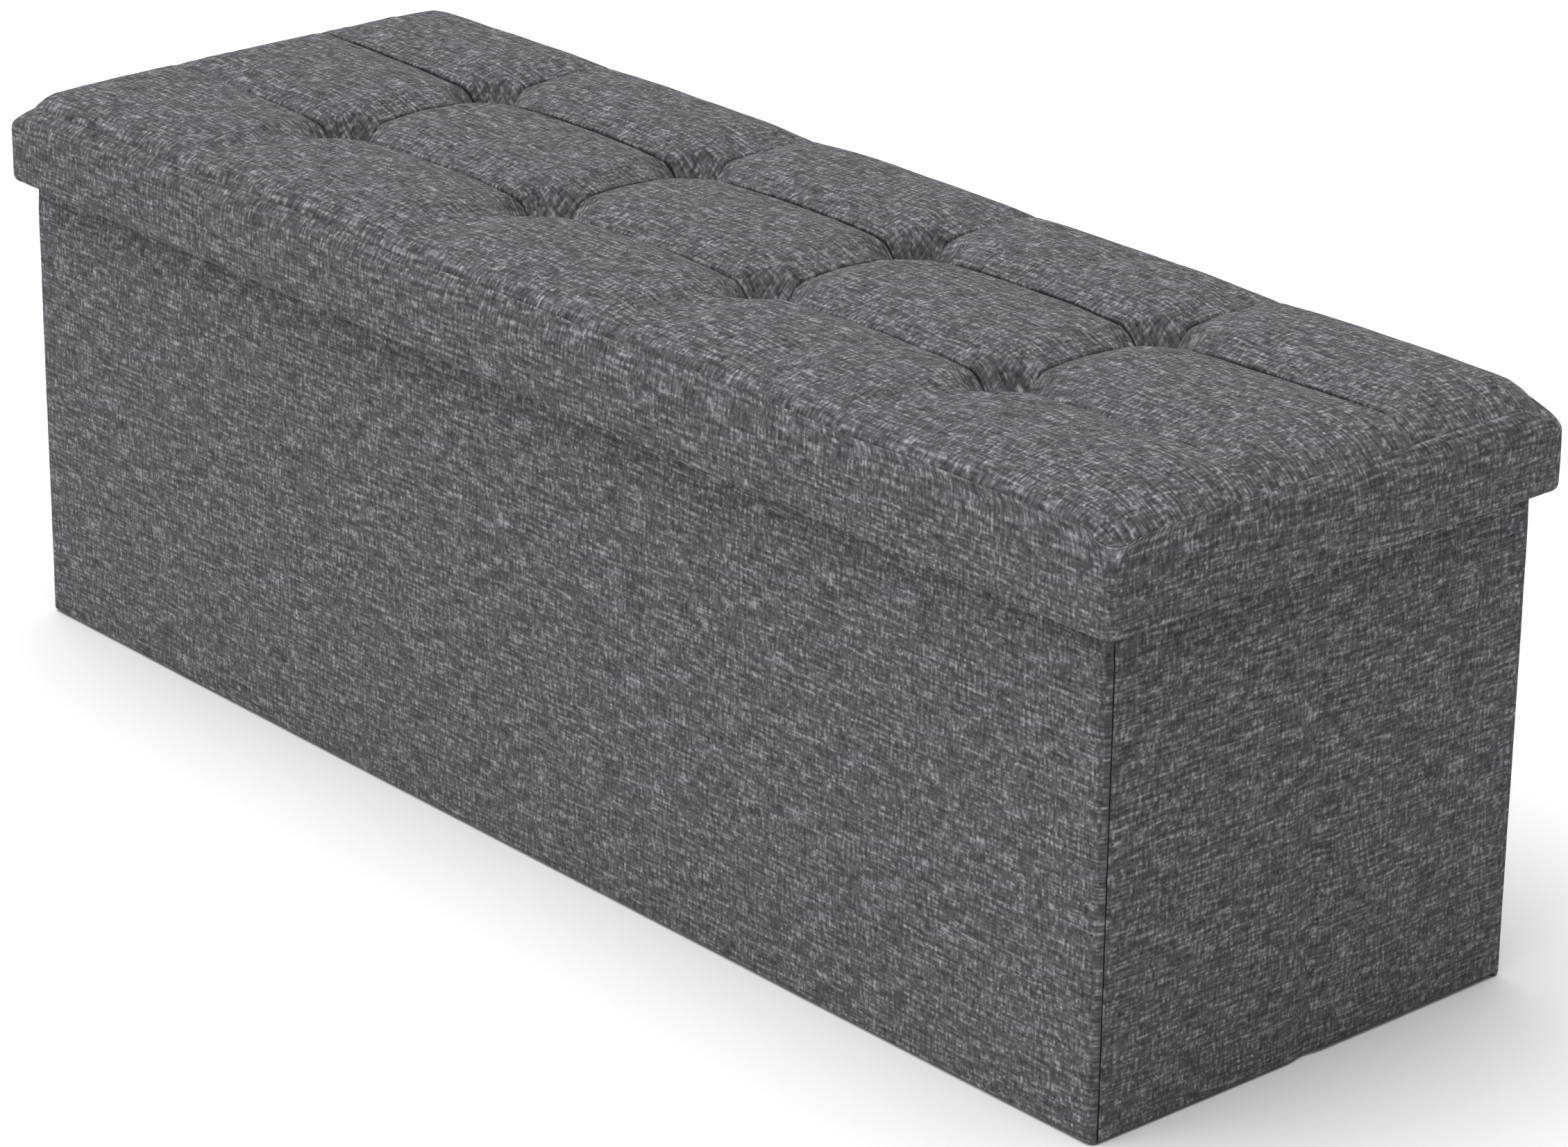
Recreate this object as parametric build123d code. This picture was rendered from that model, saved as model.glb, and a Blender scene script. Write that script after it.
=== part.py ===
from build123d import *
import os

# A folding storage bench: a fabric-covered box with a tufted lift-off lid.
# Origin: centre of the footprint, on the floor. +X runs along the bench, -Y is the front, +Z is up.
# All sizes are in millimetres.

# ---- driving dimensions -------------------------------------------------------------------
LID_LENGTH = 1100.0
LID_WIDTH = 380.0
LID_OVERHANG = 11.0          # the lid stands proud of the box by this much on all four sides
RIM_LOWER_EDGE = 326.0       # height of the lid's lower edge above the floor
TOP_SEAM = 391.0             # height of the seam between the lid's side band and its top
SEAT_TOP = 396.5
WALL_HEIGHT = 358.0
OVERRUN = 0.5                # cutting tools reach this far past what they cut

COVER = 1.5                  # outer upholstery with its thin wadding
LINING = 1.0                 # inner non-woven cloth
WALL_THICKNESS = 8.0         # cover + board + lining
CORNER_GAP = 3.5             # cloth hinge between a long wall and an end half
FOLD_GAP = 1.0               # cloth hinge between the two halves of an end
COVER_EDGE_RADIUS = 3.0

LID_BOARD = 7.0
LID_CORNER_RADIUS = 11.5
LID_EDGE_RADIUS = 5.0
LID_REST_GAP = 0.5           # clearance between the lid's lining and the tops of the walls
RIM_BOARD = 7.0

TUFT_COLUMNS = 4
TUFT_ROWS = 2
TUFT_DEPTH = 19.0
TUFT_MOUTH_RADIUS = 24.0
TUFT_FOOT_RADIUS = 6.5
TUFT_CUP_RECESS = 1.0        # the tufts' cloth cups end this far under the seat's top
TWINE_RADIUS = 1.25
TWINE_CLEARANCE = 0.05
WASHER_RADIUS = 9.5
WASHER_THICKNESS = 1.6
WASHER_CLEARANCE = 0.3
WASHER_RECESS = 2.0

BOTTOM_BOARD = 3.5
BOTTOM_CORNER = 8.0
BOTTOM_SIDE_GAP = 3.5        # from the folded ends to the stiff board
BOTTOM_FRONT_GAP = 6.0
BOTTOM_HINGE_GAP = 2.2       # from the back wall's lining to the bottom's hinge line
BOTTOM_BOARD_SET_BACK = 1.0  # from the hinge line to the stiff board
BOTTOM_CLOTH_SET_BACK = 0.3  # and to the cloth
BOTTOM_CLOTH_GAP = 1.0       # from the cloth to the walls on its other three sides
PULL_TAB = (25.0, 60.0, 1.2)
PULL_TAB_CORNER = 4.0

# ---- worked out from them ------------------------------------------------------------------
BODY_LENGTH = LID_LENGTH - 2 * LID_OVERHANG
BODY_WIDTH = LID_WIDTH - 2 * LID_OVERHANG
INNER_X = BODY_LENGTH / 2 - WALL_THICKNESS
INNER_Y = BODY_WIDTH / 2 - WALL_THICKNESS
HALF_END_OUTER = INNER_Y - CORNER_GAP
HALF_END_WIDTH = HALF_END_OUTER - FOLD_GAP / 2
LINING_UNDERSIDE = WALL_HEIGHT + LID_REST_GAP
BOARD_UNDERSIDE = LINING_UNDERSIDE + LINING
BOARD_TOP = BOARD_UNDERSIDE + LID_BOARD
CORE_LENGTH = LID_LENGTH - 2 * COVER
CORE_WIDTH = LID_WIDTH - 2 * COVER
CORE_CORNER = LID_CORNER_RADIUS - COVER
BOTTOM_TOP = BOTTOM_BOARD + LINING
BOTTOM_REAR = INNER_Y - BOTTOM_HINGE_GAP
TUFTS = [
    (LID_LENGTH / (TUFT_COLUMNS + 1) * (i - (TUFT_COLUMNS - 1) / 2),
     LID_WIDTH / (TUFT_ROWS + 1) * (j - (TUFT_ROWS - 1) / 2))
    for i in range(TUFT_COLUMNS) for j in range(TUFT_ROWS)
]


def block(x, y, z):
    """A box between pairs of x, y and z limits."""
    size = (x[1] - x[0], y[1] - y[0], z[1] - z[0])
    centre = ((x[0] + x[1]) / 2, (y[0] + y[1]) / 2, (z[0] + z[1]) / 2)
    return Pos(*centre) * Box(*size)


def slab(length, width, corner, z):
    """An upright slab with round vertical corners, centred on the bench."""
    return extrude(Pos(0, 0, z[0]) * RectangleRounded(length, width, corner), z[1] - z[0])


def fuse_apart(solids):
    """A group of separate solids kept in one node."""
    return Compound(children=list(solids))


# ---- walls ---------------------------------------------------------------------------------
def wall_layers(width):
    """Cover, board and lining of one wall; the inner face is on y = 0 and -Y is outside."""
    core_x = (-width / 2 + COVER, width / 2 - COVER)
    core_z = (COVER, WALL_HEIGHT - COVER)
    board = block(core_x, (-WALL_THICKNESS + COVER, -LINING), core_z)
    lining = block(core_x, (-LINING, 0), core_z)
    shell = block((-width / 2, width / 2), (-WALL_THICKNESS, 0), (0, WALL_HEIGHT))
    outer_edges = shell.faces().sort_by(Axis.Y)[0].edges()
    shell = fillet(outer_edges, COVER_EDGE_RADIUS)
    return {"cover": shell - board - lining, "board": board, "lining": lining}


def walls():
    """The two long walls cap the ends; each end is two halves that fold inwards."""
    half_centre = FOLD_GAP / 2 + HALF_END_WIDTH / 2
    places = {
        "front_wall": (BODY_LENGTH, Pos(0, -INNER_Y, 0)),
        "back_wall": (BODY_LENGTH, Pos(0, INNER_Y, 0) * Rot(0, 0, 180)),
        "right_rear_half": (HALF_END_WIDTH, Pos(INNER_X, half_centre, 0) * Rot(0, 0, 90)),
        "right_front_half": (HALF_END_WIDTH, Pos(INNER_X, -half_centre, 0) * Rot(0, 0, 90)),
        "left_rear_half": (HALF_END_WIDTH, Pos(-INNER_X, half_centre, 0) * Rot(0, 0, -90)),
        "left_front_half": (HALF_END_WIDTH, Pos(-INNER_X, -half_centre, 0) * Rot(0, 0, -90)),
    }
    nodes = {}
    for wall, (width, place) in places.items():
        for layer, solid in wall_layers(width).items():
            nodes[f"{wall}_{layer}"] = place * solid
    return nodes


# ---- bottom --------------------------------------------------------------------------------
def bottom():
    """A stiff board under a full-size cloth, which leaves the ends free to fold in over it."""
    stiff_x = INNER_X - HALF_END_OUTER - BOTTOM_SIDE_GAP
    board = block((-stiff_x, stiff_x), (-INNER_Y + BOTTOM_FRONT_GAP, BOTTOM_REAR - BOTTOM_BOARD_SET_BACK),
                  (0, BOTTOM_BOARD))
    board = fillet(board.edges().filter_by(Axis.Z), BOTTOM_CORNER)
    cloth_x = INNER_X - BOTTOM_CLOTH_GAP
    cloth = block((-cloth_x, cloth_x),
                  (-INNER_Y + BOTTOM_CLOTH_GAP, BOTTOM_REAR - BOTTOM_CLOTH_SET_BACK),
                  (BOTTOM_BOARD, BOTTOM_TOP))
    tab_y = -INNER_Y + BOTTOM_FRONT_GAP + PULL_TAB[1] / 2
    tab = Pos(0, tab_y, BOTTOM_TOP) * RectangleRounded(PULL_TAB[0], PULL_TAB[1], PULL_TAB_CORNER)
    return {
        "bottom_board": board,
        "bottom_lining": cloth,
        "bottom_pull_tab": extrude(tab, PULL_TAB[2]),
    }


# ---- lid -----------------------------------------------------------------------------------
def tuft_hollow(x, y, skin):
    """The funnel that a tuft pulls into the padding; skin makes it narrower for the cover."""
    height = TUFT_DEPTH - skin
    foot = TUFT_FOOT_RADIUS - skin
    mouth = TUFT_MOUTH_RADIUS - skin
    middle = SEAT_TOP - height / 2 + OVERRUN
    return Pos(x, y, middle) * Cone(foot, mouth, height + 2 * OVERRUN)


def lid_padding():
    """The foam block and the tufted cloth top that follows it."""
    foam = slab(CORE_LENGTH, CORE_WIDTH, CORE_CORNER, (BOARD_TOP, SEAT_TOP - COVER))
    foam = fillet(foam.faces().sort_by(Axis.Z)[-1].edges(), LID_EDGE_RADIUS - COVER)
    cap = slab(LID_LENGTH, LID_WIDTH, LID_CORNER_RADIUS, (TOP_SEAM, SEAT_TOP))
    cap = fillet(cap.faces().sort_by(Axis.Z)[-1].edges(), LID_EDGE_RADIUS)
    for x, y in TUFTS:
        foam -= tuft_hollow(x, y, 0)
        twine_hole = Cylinder(TWINE_RADIUS, 2 * (SEAT_TOP - BOARD_TOP))
        foam -= Pos(x, y, (BOARD_TOP + SEAT_TOP) / 2) * twine_hole
        cap -= tuft_hollow(x, y, COVER)
    cap_core = slab(CORE_LENGTH, CORE_WIDTH, CORE_CORNER, (BOARD_TOP, SEAT_TOP - COVER))
    cap_core = fillet(cap_core.faces().sort_by(Axis.Z)[-1].edges(), LID_EDGE_RADIUS - COVER)
    reach = 2 * TUFT_MOUTH_RADIUS
    cup_z = (BOARD_TOP, SEAT_TOP - TUFT_CUP_RECESS)
    cups = []
    for x, y in TUFTS:
        cap_core -= tuft_hollow(x, y, 0)
        cup = tuft_hollow(x, y, 0) - tuft_hollow(x, y, COVER)
        cups.append(cup & block((x - reach, x + reach), (y - reach, y + reach), cup_z))
    top_cover = cap - cap_core
    for cup in cups:
        top_cover += cup
    return {"lid_foam_pad": foam, "lid_top_cover": top_cover}


def lid_frame():
    """The lid's board with a rim of four strips under its edge."""
    board = slab(CORE_LENGTH, CORE_WIDTH, CORE_CORNER, (BOARD_UNDERSIDE, BOARD_TOP))
    rim = slab(CORE_LENGTH, CORE_WIDTH, CORE_CORNER, (RIM_LOWER_EDGE + COVER, BOARD_UNDERSIDE))
    inner_x = CORE_LENGTH / 2 - RIM_BOARD
    inner_y = CORE_WIDTH / 2 - RIM_BOARD
    span_z = (RIM_LOWER_EDGE, BOARD_UNDERSIDE)
    rim -= block((-inner_x, inner_x), (-inner_y, inner_y), (RIM_LOWER_EDGE, BOARD_TOP))
    for x, y in TUFTS:
        recess = Cylinder(WASHER_RADIUS + WASHER_CLEARANCE, 2 * WASHER_RECESS)
        board -= Pos(x, y, BOARD_UNDERSIDE) * recess
        board -= Pos(x, y, BOARD_TOP) * Cylinder(TWINE_RADIUS, 4 * LID_BOARD)
    long_x = (-CORE_LENGTH, CORE_LENGTH)
    nodes = {
        "lid_board": board,
        "lid_front_rim": rim & block(long_x, (-CORE_WIDTH, -inner_y), span_z),
        "lid_rear_rim": rim & block(long_x, (inner_y, CORE_WIDTH), span_z),
        "lid_left_rim": rim & block((-CORE_LENGTH, 0), (-inner_y, inner_y), span_z),
        "lid_right_rim": rim & block((0, CORE_LENGTH), (-inner_y, inner_y), span_z),
    }
    nodes["lid_underside_lining"] = block((-inner_x, inner_x), (-inner_y, inner_y),
                                          (LINING_UNDERSIDE, BOARD_UNDERSIDE))
    return nodes


def lid_side_cover():
    """The band of cloth round the lid, turned in under the rim."""
    inner_x = CORE_LENGTH / 2 - RIM_BOARD
    inner_y = CORE_WIDTH / 2 - RIM_BOARD
    band = slab(LID_LENGTH, LID_WIDTH, LID_CORNER_RADIUS, (RIM_LOWER_EDGE, TOP_SEAM))
    core = slab(CORE_LENGTH, CORE_WIDTH, CORE_CORNER, (RIM_LOWER_EDGE + COVER, TOP_SEAM))
    well = block((-inner_x, inner_x), (-inner_y, inner_y), (RIM_LOWER_EDGE, WALL_HEIGHT))
    return {"lid_side_cover": band - core - well}


def tuft_ties():
    """Waxed twine through board and foam, held by a washer let into the board's underside."""
    foot = SEAT_TOP - TUFT_DEPTH
    washer_z = BOARD_UNDERSIDE + WASHER_THICKNESS / 2
    twine_z = (BOARD_UNDERSIDE + WASHER_THICKNESS, foot)
    twines = []
    washers = []
    for x, y in TUFTS:
        length = twine_z[1] - twine_z[0]
        twine = Cylinder(TWINE_RADIUS - TWINE_CLEARANCE, length)
        twines.append(Pos(x, y, sum(twine_z) / 2) * twine)
        washers.append(Pos(x, y, washer_z) * Cylinder(WASHER_RADIUS, WASHER_THICKNESS))
    return {"tuft_twines": fuse_apart(twines), "tuft_washers": fuse_apart(washers)}


NODES = {}
for group in (walls(), bottom(), lid_padding(), lid_frame(), lid_side_cover(), tuft_ties()):
    NODES.update(group)

os.makedirs("parts", exist_ok=True)
for name, solid in NODES.items():
    export_step(solid, f"parts/{name}.step")
    print(f"{name}: {solid.volume / 1000:.1f} cm3")
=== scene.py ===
"""A folding storage bench in dark grey linen-look cloth, with a tufted lift-off lid.

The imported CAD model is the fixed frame. Everything is in metres in its row frame:
origin on the floor under the bench's centre, +X along the bench, -Y the front, +Z up.
"""
import math

import bmesh
import bpy
import numpy as np
from mathutils import Matrix, Vector, noise


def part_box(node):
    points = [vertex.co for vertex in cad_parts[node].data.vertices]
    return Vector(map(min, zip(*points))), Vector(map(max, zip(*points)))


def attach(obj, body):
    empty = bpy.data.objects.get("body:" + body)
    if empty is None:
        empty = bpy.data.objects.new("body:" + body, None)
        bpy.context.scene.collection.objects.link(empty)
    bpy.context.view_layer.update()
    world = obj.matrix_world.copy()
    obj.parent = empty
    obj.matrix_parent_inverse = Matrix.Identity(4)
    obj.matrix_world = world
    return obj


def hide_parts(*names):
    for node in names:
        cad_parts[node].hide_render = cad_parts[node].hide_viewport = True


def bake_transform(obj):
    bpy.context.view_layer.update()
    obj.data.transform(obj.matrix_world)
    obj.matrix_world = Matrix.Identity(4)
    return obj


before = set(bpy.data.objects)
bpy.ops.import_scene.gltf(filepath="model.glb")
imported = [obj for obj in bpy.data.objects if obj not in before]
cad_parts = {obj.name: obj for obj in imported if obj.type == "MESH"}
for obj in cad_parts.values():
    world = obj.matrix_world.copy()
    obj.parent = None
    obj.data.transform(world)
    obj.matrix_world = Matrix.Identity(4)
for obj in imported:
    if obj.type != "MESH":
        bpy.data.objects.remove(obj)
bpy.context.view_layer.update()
MM = 0.001

# ---- the view ------------------------------------------------------------------------------
CAMERA_AZIMUTH = 48.564
CAMERA_ELEVATION = 21.947
CAMERA_ROLL = 0.689
CAMERA_PLACE = (2.5232, -2.1759, 1.4921)
CAMERA_LENS = 123.71
SENSOR_WIDTH = 36.0

# ---- sizes taken from the CAD frame ----------------------------------------------------------
BAND_LOW, BAND_HIGH = (Vector(c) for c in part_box("lid_side_cover"))
TOP_HIGH = Vector(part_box("lid_top_cover")[1])
BOARD_HIGH = Vector(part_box("lid_board")[1])
FRONT_LOW, FRONT_HIGH = (Vector(c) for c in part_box("front_wall_cover"))
END_LOW, END_HIGH = (Vector(c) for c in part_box("right_rear_half_cover"))
RIM_INNER_X = Vector(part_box("lid_underside_lining")[1]).x
RIM_Z = BAND_LOW.z

# ---- the lid's soft shape --------------------------------------------------------------------
LID_PROUD = 2.4 * MM         # the padded faces stand this far out of the frame's own
FACE_X = BAND_HIGH.x + LID_PROUD
FACE_Y = BAND_HIGH.y + LID_PROUD
SEAT_Z = TOP_HIGH.z - 0.2 * MM   # the puffs' crests, before the cloth settles
SEAT_LEAN = 1.9 * MM         # the seat is this much higher at the right end than half way
FRONT_ROUND = (28 * MM, 27 * MM)     # width and height of each upper edge's rounding
REAR_ROUND = (36 * MM, 33 * MM)
END_ROUND = (37 * MM, 33 * MM)
CROWN = 1.6 * MM             # the seat's middle stands this much over its edges
CROWN_WIDTH = 100 * MM
CORNER_DROP = 10 * MM        # the corners are pulled down more than the edges
CORNER_WIDTH = 50 * MM
SEAM_INSET = 7.7 * MM        # the seam between the top and the side band, in from the face
SEAM_ROLL = 2.6 * MM         # both cloths roll down into the seam
SEAM_GAPE = 0.75 * MM        # along the long sides the seam stands open by this much
FACE_CORNER = 8.5 * MM       # plan radius of the band's corners
SEAM_CORNER = 15 * MM        # and of the seam's
FOLD_LEAN = 0.9              # each seam's fold runs in under the puff behind it
TUFT_COLUMNS = 4
TUFT_ROWS = 2
COLUMN_STEP = 2 * BAND_HIGH.x / (TUFT_COLUMNS + 1)
ROW_STEP = 2 * BAND_HIGH.y / (TUFT_ROWS + 1)
TUFT_X = [COLUMN_STEP * (i - (TUFT_COLUMNS - 1) / 2) for i in range(TUFT_COLUMNS)]
TUFT_Y = [ROW_STEP * (j - (TUFT_ROWS - 1) / 2) for j in range(TUFT_ROWS)]
EDGE_DIPS = (0.9 * MM, 2.2 * MM, 0.8 * MM, 1.3 * MM)   # at each column of tufts
EDGE_DIP_SPREAD = 42 * MM
EDGE_WIDTH, EDGE_HEIGHT = FRONT_ROUND
FACE_TOP = SEAT_Z - EDGE_HEIGHT - CROWN - 3 * MM       # the band is upright up to here
SEAM_TURN = math.acos(1 - SEAM_INSET / EDGE_WIDTH)     # and from here it turns in by this angle

# ---- tufts and seams of the top --------------------------------------------------------------
TUFT_DEPTH = 27 * MM
TUFT_FLOOR = 8 * MM          # radius of a funnel's floor
TUFT_REACH = 30 * MM         # a funnel's wall rises over this distance
TUFT_POWER = 1.7             # under 2, so that a funnel is drawn out along the seams
TUFT_BOWL = 0.25             # share of the wall's shape that is round, the rest being a slope
PLEAT_HEIGHT = 0.4 * MM
ROW_SEAM = (5.0 * MM, 6.0 * MM)          # depth half way between tufts, and what a tuft adds
ROW_SEAM_REACH = (26 * MM, 10 * MM)      # width of the valley's side, and what a tuft adds
ROW_SEAM_SPREAD = 50 * MM                # how far along the seam a tuft's pull is felt
COLUMN_SEAM_REACH = 38 * MM
MIDDLE_SEAM = (4.2 * MM, 6.5 * MM, 38 * MM)   # depth, what a tuft adds, and how far it is felt
REAR_SEAM = (1.8 * MM, 7.5 * MM, 44 * MM)
FRONT_SEAM = (0.6 * MM, 9 * MM, 26 * MM)
ROW_SLIT = (5.6 * MM, 1.05 * MM)         # depth and spread of the fine line in a seam
COLUMN_SLIT = (1.2 * MM, 1.4 * MM)
TOP_RIPPLE = 0.5 * MM
GRID_STEP = 6.5 * MM

# ---- the cloth simulation of the lid's top ---------------------------------------------------
SETTLE_STEP = 6.0 * MM
SETTLE_FRAMES = 20
SETTLE_PRESSURE = 2.2
SETTLE_EXCESS = 0.012        # the cloth is this share larger than the padding under it
SETTLE_LIMIT = 4.0 * MM      # no point moves further than this, and about a quarter reach it
SETTLE_QUALITY = 5
SETTLE_STIFFNESS = 15
SETTLE_BENDING = 0.5
HELD_AT_SEAMS = (2 * MM, 16 * MM)        # held up to the first distance, free from the second
HELD_AT_TUFTS = (9 * MM, 26 * MM)
HELD_AT_BORDER = (8 * MM, 34 * MM)
# the cushion's edge turns down inside the band: each ring's inset and drop from the last one
HEM_RINGS = ((0.0, 0.9 * MM), (0.7 * MM, 2.6 * MM), (2.0 * MM, 5.0 * MM), (4.0 * MM, 16.0 * MM))

# ---- the walls' soft shape -------------------------------------------------------------------
WALL_PROUD = 1.2 * MM        # below the lid's rim only
LIP = 6.2 * MM               # the end cloths' edges reach this far over the long walls' ends
THICKNESS = FRONT_HIGH.y - FRONT_LOW.y
WALL_TOP = FRONT_HIGH.z
LONG_HALF = FRONT_HIGH.x - 0.7 * MM
LONG_SWELL = 1.2 * MM        # the long walls' ends stand out by this much below the rim
LONG_BULGE = 1.9 * MM        # and their faces by this much half way along
INNER_Y = -FRONT_HIGH.y
INNER_X = END_LOW.x
END_HALF = END_HIGH.y
END_BULGE = 1.1 * MM
FOOT_ROUND = 4.5 * MM        # the walls' lower edges are rounder than their upper ones
HEAD_ROUND = 2.8 * MM
BACK_ROUND = 1.6 * MM
BACK_FACE = 0.35 * MM        # the cloth turned in lies this far inside the lining's face
LEAST_CLOTH = 0.5 * MM       # a cover's two faces stay this far apart
TUCK = 1.0 * MM              # step of the cloth that turns back under each lip
FOLD_STEPS = [k * MM for k in (0.2, 0.45, 0.9, 1.6, 2.6, 4.0, 6.0)]
REAR_LIFT = 1.1 * MM         # the rear half's lower edge is drawn up by this much
PUCKER_STEP = 8.5 * MM       # the short creases that run into a corner seam
PUCKER_DEPTH = 0.45 * MM
PUCKER_LENGTH = 7 * MM

# ---- the linings and the pull tab --------------------------------------------------------------
LINING_FOOT = 7 * MM         # a wall's lining stops this far from the wall's lower edge,
LINING_HEAD = 6 * MM         # from its upper edge
LINING_END = 13 * MM         # and from a long wall's ends
LINING_INSET = 5 * MM        # the same for an end's half
LINING_BACK = 0.32 * MM      # a lining reaches this far into the wall
LONG_WAVES = 0.3 * MM        # height of the waves in the linings
END_WAVES = 0.08 * MM
RESTING_GAP = 0.12 * MM      # the bottom's cloth and ribbon start this far over their CAD solids'
BOTTOM_CLOTH = (0.75 * MM, 0.3 * MM)     # thickness and height of its waves
UNDERSIDE_CLOTH = (0.8 * MM, 0.25 * MM)
UNDERSIDE_INSET = Vector((3 * MM, 3 * MM, 0))
TAB_THICKNESS = 0.8 * MM
TAB_WAVE = 0.12 * MM
BACK_CLOTH_SHIFT = 0.5       # the back of a cover shows another stretch of the same cloth
EDGE_CLOTH = 6 * MM          # cloth that goes round a panel's edge


# ============================== small tools ===================================================
def smoothstep(low, high, value):
    t = np.clip((value - low) / (high - low), 0, 1)
    return t * t * (3 - 2 * t)


def soft_noise(points, size, seed):
    """Smooth noise from -1 to 1 at each point, with features of about size."""
    offset = Vector((seed * 13.7, seed * 7.3, seed * 3.1))
    shape = points.shape[:-1]
    values = [noise.noise(Vector(p) / size + offset) for p in points.reshape(-1, 3)]
    return np.array(values).reshape(shape)


def near(distance, spread):
    """1 at no distance, and almost nothing at twice the spread."""
    return np.exp(-(distance / spread) ** 2)


def mesh_piece(name, points, faces, cloth=None):
    """A smooth-shaded mesh; cloth gives each face corner its place on the flat cloth."""
    mesh = bpy.data.meshes.new(name)
    mesh.from_pydata([tuple(map(float, p)) for p in points], [], faces)
    if cloth is not None:
        corners = [(*map(float, place), 0.0) for face in cloth for place in face]
        layer = mesh.attributes.new("cloth", "FLOAT_VECTOR", "CORNER")
        layer.data.foreach_set("vector", np.array(corners, np.float32).ravel())
    mesh.update()
    for polygon in mesh.polygons:
        polygon.use_smooth = True
    piece = bpy.data.objects.new(name, mesh)
    bpy.context.scene.collection.objects.link(piece)
    return piece


class Surface:
    """Collects grids of points, their faces, and the faces' places on the flat cloth."""

    def __init__(self):
        self.points, self.faces, self.cloth = [], [], []

    def grid(self, points, u, v, wrap_rows=False, wrap_columns=False, flip=False):
        """Adds a grid of points; u and v are one longer than a direction that wraps round."""
        rows, columns = points.shape[:2]
        start = len(self.points)
        self.points += [tuple(p) for p in points.reshape(-1, 3)]
        for i in range(rows if wrap_rows else rows - 1):
            for j in range(columns if wrap_columns else columns - 1):
                around = ((i, j), (i + 1, j), (i + 1, j + 1), (i, j + 1))
                if flip:
                    around = around[::-1]
                face = [start + (a % rows) * columns + b % columns for a, b in around]
                self.faces.append(tuple(face))
                self.cloth.append([(u[a, b], v[a, b]) for a, b in around])
        return start + np.arange(rows * columns).reshape(rows, columns)

    def strip(self, first, second, place):
        """Joins two rows of point numbers; place gives the cloth's place at each column."""
        for k in range(len(first) - 1):
            self.faces.append((first[k], first[k + 1], second[k + 1], second[k]))
            a, b = place[k], place[k + 1]
            self.cloth.append([a[0], b[0], b[1], a[1]])

    def turn_over(self):
        """Turns every face over, for a panel whose places are mirrored."""
        self.faces = [face[::-1] for face in self.faces]
        self.cloth = [face[::-1] for face in self.cloth]

    def piece(self, name):
        """The closed mesh of these faces, all of them facing outwards."""
        thing = mesh_piece(name, self.points, self.faces, self.cloth)
        shape = bmesh.new()
        shape.from_mesh(thing.data)
        bmesh.ops.recalc_face_normals(shape, faces=shape.faces)
        shape.to_mesh(thing.data)
        shape.free()
        return thing


def dress(piece, body, material, slot, *nodes):
    """Gives a piece its finish and its body unless it has two, and hides the CAD nodes that it
    stands for.
    """
    piece.data.materials.append(material)
    if body:
        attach(piece, body)
    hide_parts(*nodes)


# ============================== materials =====================================================
class Nodes:
    """A short way to write a material's node tree."""

    def __init__(self, name, roughness=0.9):
        self.material = bpy.data.materials.new(name)
        self.material.use_nodes = True
        self.tree = self.material.node_tree
        self.shader = self.tree.nodes["Principled BSDF"]
        self.shader.inputs["Roughness"].default_value = roughness

    def add(self, kind, inputs=(), **settings):
        node = self.tree.nodes.new(kind)
        for key, value in settings.items():
            setattr(node, key, value)
        for socket, value in dict(inputs).items():
            if isinstance(value, bpy.types.NodeSocket):
                self.tree.links.new(value, node.inputs[socket])
            else:
                node.inputs[socket].default_value = value
        return node

    def math(self, operation, a, b=0.0, clamp=False):
        return self.add("ShaderNodeMath", {0: a, 1: b}, operation=operation,
                        use_clamp=clamp).outputs[0]

    def link(self, output, socket):
        self.tree.links.new(output, self.shader.inputs[socket])

    def vector(self, x, y, z):
        return self.add("ShaderNodeCombineXYZ", {0: x, 1: y, 2: z}).outputs[0]

    def noise(self, vector, scale=1.0, detail=2.0, roughness=0.5):
        inputs = {"Vector": vector, "Scale": scale, "Detail": detail, "Roughness": roughness}
        return self.add("ShaderNodeTexNoise", inputs).outputs["Fac"]

    def ramp(self, value, stops):
        node = self.add("ShaderNodeValToRGB", {"Fac": value})
        elements = node.color_ramp.elements
        while len(elements) < len(stops):
            elements.new(0.5)
        for element, (place, colour) in zip(elements, stops):
            element.position = place
            element.color = (*colour, 1)
        return node.outputs["Color"]

    def bump(self, height, strength, distance):
        inputs = {"Height": height, "Strength": strength, "Distance": distance}
        return self.add("ShaderNodeBump", inputs).outputs["Normal"]

    def mixed(self, share, a, b):
        """a where share is 0 and b where it is 1."""
        return self.math("ADD", a, self.math("MULTIPLY", share, self.math("SUBTRACT", b, a)))


THREAD = 1.85 * MM
SLUB = 7.0 * MM              # length of a thick or pale run of yarn
CLUSTER = 2.3 * MM           # width over which neighbouring yarns look alike


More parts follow.
